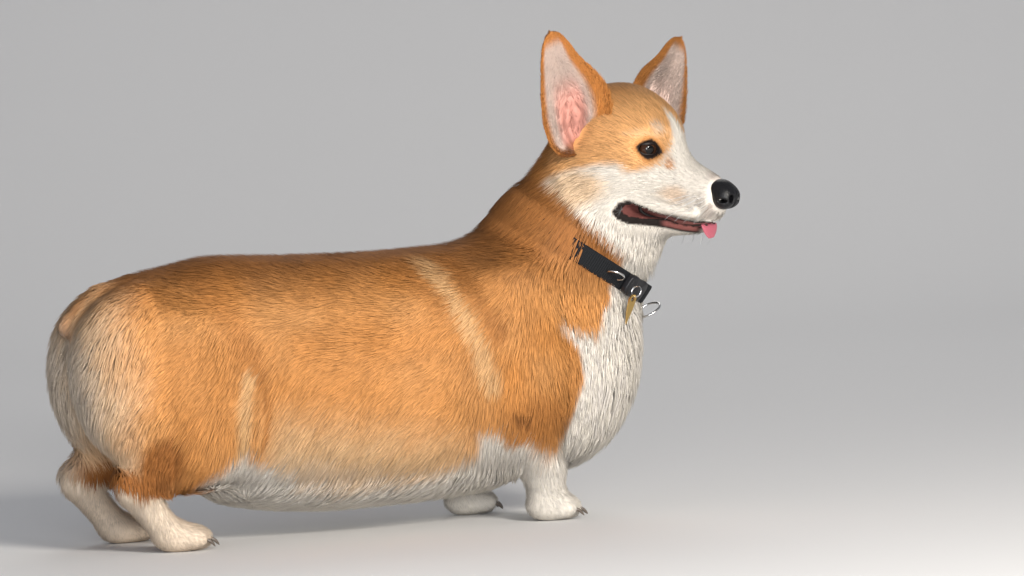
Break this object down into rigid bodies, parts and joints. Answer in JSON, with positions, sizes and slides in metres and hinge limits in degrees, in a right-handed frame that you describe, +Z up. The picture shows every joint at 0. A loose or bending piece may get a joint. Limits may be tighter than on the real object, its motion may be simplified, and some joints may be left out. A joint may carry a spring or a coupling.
{
  "type": "pembroke welsh corgi",
  "caption": "Life-size still model of a standing red and white corgi, its head turned to the right with mouth open, wearing a webbing collar with a tag.",
  "frame": {"origin": "centre of the outline's footprint, on the floor under the pads of the four paws", "axes": "+X from tail to chest, +Y towards the dog's left side, +Z up; the head looks forwards and to the dog's right"},
  "size_m": [0.6394, 0.2326, 0.4495],
  "materials": {
    "red_coat": "soft red-orange double coat, long over the rump and neck",
    "white_coat": "soft white coat, long on the chest, matt",
    "eye": "dark brown, wet and glossy",
    "nose_leather": "black, pebbled, moist",
    "tongue": "pink, moist",
    "webbing": "black ribbed webbing",
    "buckle_plastic": "black moulded plastic",
    "brass": "brushed plain brass, blank",
    "steel": "bright bent wire"
  },
  "bodies": {
    "root": {"neck": "red_coat", "chest": "white_coat", "torso": "red_coat", "rump": "red_coat", "tail": "red_coat", "front_leg_left": "red_coat", "front_paw_left": "white_coat", "front_leg_right": "red_coat", "front_paw_right": "white_coat", "hind_leg_left": "red_coat", "hind_paw_left": "white_coat", "hind_leg_right": "red_coat", "hind_paw_right": "white_coat", "ear_left": "red_coat", "ear_right": "red_coat", "eye_left": "eye", "eye_right": "eye", "nose": "nose_leather", "head": "red_coat", "lower_jaw": "white_coat", "tongue": "tongue", "collar_strap": "webbing", "collar_buckle": "buckle_plastic", "collar_tag": "brass", "collar_loop": "steel", "collar_ring": "steel", "tag_ring": "steel"}
  },
  "joints": []
}
